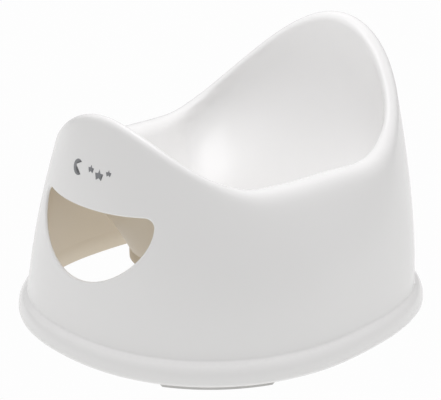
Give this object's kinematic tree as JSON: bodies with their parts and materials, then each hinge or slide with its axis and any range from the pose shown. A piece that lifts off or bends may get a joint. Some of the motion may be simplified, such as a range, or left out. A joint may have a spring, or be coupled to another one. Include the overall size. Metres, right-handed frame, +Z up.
{
  "type": "potty training chair",
  "caption": "Child's potty chair: moulded shell with splash guard, saddle seat, backrest and hand hole, a lift-out pot and rubber feet.",
  "frame": {"origin": "on the floor, at the middle of the footprint's box", "axes": "+Z up, +Y from the splash guard towards the backrest, +X towards the seated child's left"},
  "size_m": [0.3306, 0.3486, 0.24],
  "materials": {
    "shell_plastic": "glossy moulded polypropylene, white",
    "pot_plastic": "glossy moulded polypropylene, white",
    "foot_rubber": "matt thermoplastic rubber, light grey"
  },
  "bodies": {
    "chair": {"body_shell": "shell_plastic", "foot_front_left": "foot_rubber", "foot_front_right": "foot_rubber", "foot_back_left": "foot_rubber", "foot_back_right": "foot_rubber"},
    "pot": {"inner_pot": "pot_plastic"}
  },
  "joints": [
    {"name": "pot_lift", "type": "slide", "parent": "chair", "child": "pot", "axis": [0, 0, 1], "range_m": [0, 0.16]}
  ]
}
